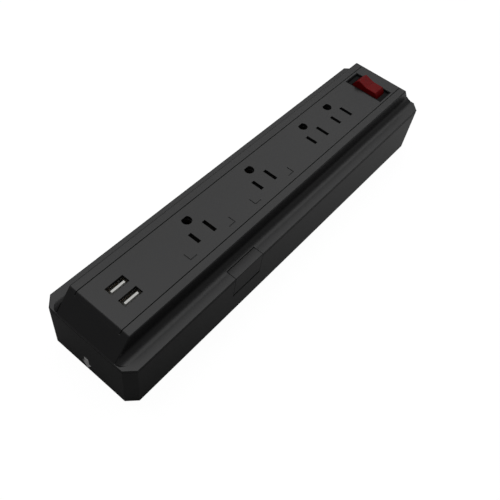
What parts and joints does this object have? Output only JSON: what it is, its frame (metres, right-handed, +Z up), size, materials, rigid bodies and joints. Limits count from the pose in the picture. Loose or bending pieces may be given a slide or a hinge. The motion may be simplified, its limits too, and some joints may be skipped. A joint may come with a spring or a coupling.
{
  "type": "power strip",
  "caption": "Long low power strip with grounded sockets, USB sockets and a rocker switch on a raised rib, and a cord reel in its base with a side release tab.",
  "frame": {"origin": "centre of the strip's length and width, at the underside of its rubber feet", "axes": "+X along the strip towards the rocker switch, +Z up out of the sockets; the release tab is on the -Y side"},
  "size_m": [0.3, 0.0668, 0.0574],
  "materials": {
    "case_plastic": "satin black moulded plastic",
    "panel_plastic": "fine satin black moulded plastic",
    "bezel_plastic": "black nylon",
    "rocker_red": "translucent red polycarbonate",
    "usb_white": "white moulded plastic",
    "nickel": "nickel-plated pressed steel",
    "gilt": "gilt contacts",
    "brass": "punched brass",
    "steel": "zinc-plated steel",
    "spring_steel": "spring steel",
    "rubber": "dark grey rubber",
    "block_plastic": "dark heat-resistant plastic",
    "reel_plastic": "dark acetal",
    "board_green": "green glass-fibre board",
    "epoxy_blue": "blue epoxy coat",
    "film_yellow": "yellow box capacitor",
    "ferrite": "ferrite",
    "copper": "enamelled copper winding",
    "can": "aluminium can",
    "carbon": "carbon brush",
    "lamp_glass": "neon lamp glass"
  },
  "bodies": {
    "root": {"board_screws": "steel", "brake_pin": "steel", "brush_block": "block_plastic", "bus_plate": "block_plastic", "case_screws": "steel", "choke_coil": "copper", "film_capacitor": "film_yellow", "filter_board": "board_green", "filter_screws": "steel", "ground_bus": "brass", "hot_bus": "brass", "lower_case": "case_plastic", "mouth_ring": "reel_plastic", "neon_lamp": "lamp_glass", "neutral_bus": "brass", "outlet_panel": "panel_plastic", "plate_screws": "steel", "reel_spindle": "steel", "reel_spring": "spring_steel", "ring_brushes": "carbon", "rubber_feet": "rubber", "socket_block_1": "block_plastic", "socket_block_2": "block_plastic", "socket_block_3": "block_plastic", "socket_block_4": "block_plastic", "spindle_clip": "steel", "switch_bezel": "bezel_plastic", "switch_housing": "bezel_plastic", "switch_terminals": "brass", "tab_springs": "spring_steel", "thermal_fuse": "can", "top_cover": "case_plastic", "usb_board": "board_green", "usb_capacitors": "can", "usb_contacts": "gilt", "usb_shell_1": "nickel", "usb_shell_2": "nickel", "usb_tongue_1": "usb_white", "usb_tongue_2": "usb_white", "usb_transformer_coil": "copper", "usb_transformer_core": "ferrite", "varistors": "epoxy_blue"},
    "tab": {"press_tab": "case_plastic"},
    "lever": {"brake_lever": "reel_plastic"},
    "reel": {"cord_reel": "reel_plastic", "slip_rings": "brass"},
    "switch": {"rocker": "rocker_red"}
  },
  "joints": [
    {"name": "tab_press", "type": "slide", "parent": "root", "child": "tab", "axis": [0, 0, -1], "range_m": [0, 0.0016], "stiffness_N_per_m": 300, "springref_m": -0.0005, "deforming": ["tab_springs"]},
    {"name": "brake_tilt", "type": "hinge", "parent": "root", "child": "lever", "pos_m": [-0.066, -0.023, 0.0279], "axis": [0, 1, 0], "range_deg": [0, 7.7]},
    {"name": "reel_turn", "type": "hinge", "parent": "root", "child": "reel", "pos_m": [-0.088, 0, 0.0148], "axis": [0, 0, 1], "continuous": true},
    {"name": "rocker_tilt", "type": "hinge", "parent": "root", "child": "switch", "pos_m": [0.1206, 0, 0.0486], "axis": [-1, 0, 0], "range_deg": [0, 17]}
  ],
  "couplings": [
    {"joint": "brake_tilt", "follows": "tab_press", "rad_per_m": 83.333}
  ]
}
